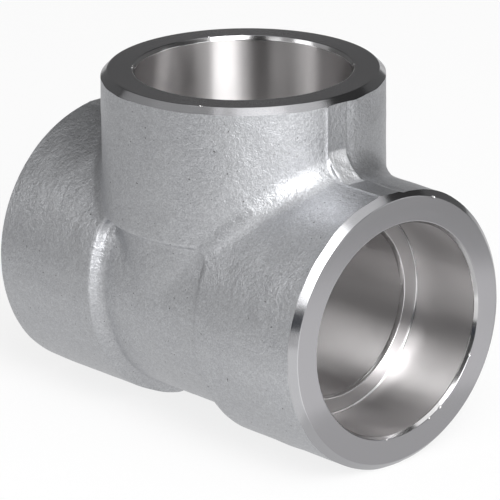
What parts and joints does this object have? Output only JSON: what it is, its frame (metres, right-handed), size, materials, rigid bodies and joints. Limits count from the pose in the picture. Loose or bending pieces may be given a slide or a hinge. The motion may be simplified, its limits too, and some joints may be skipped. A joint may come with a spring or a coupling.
{
  "type": "socket weld tee",
  "caption": "Forged steel pipe tee of equal size on run and branch, with a machined socket in each end for a pipe to be welded into.",
  "frame": {"origin": "where the centreline of the run crosses the centreline of the branch", "axes": "+X along the run, +Z along the branch out of its socket, +Y across the parting plane of the forging"},
  "size_m": [0.0878, 0.0564, 0.0719],
  "materials": {
    "steel": "shot-blasted forging with turned ends and bores"
  },
  "bodies": {
    "root": {"tee_body": "steel"}
  },
  "joints": []
}
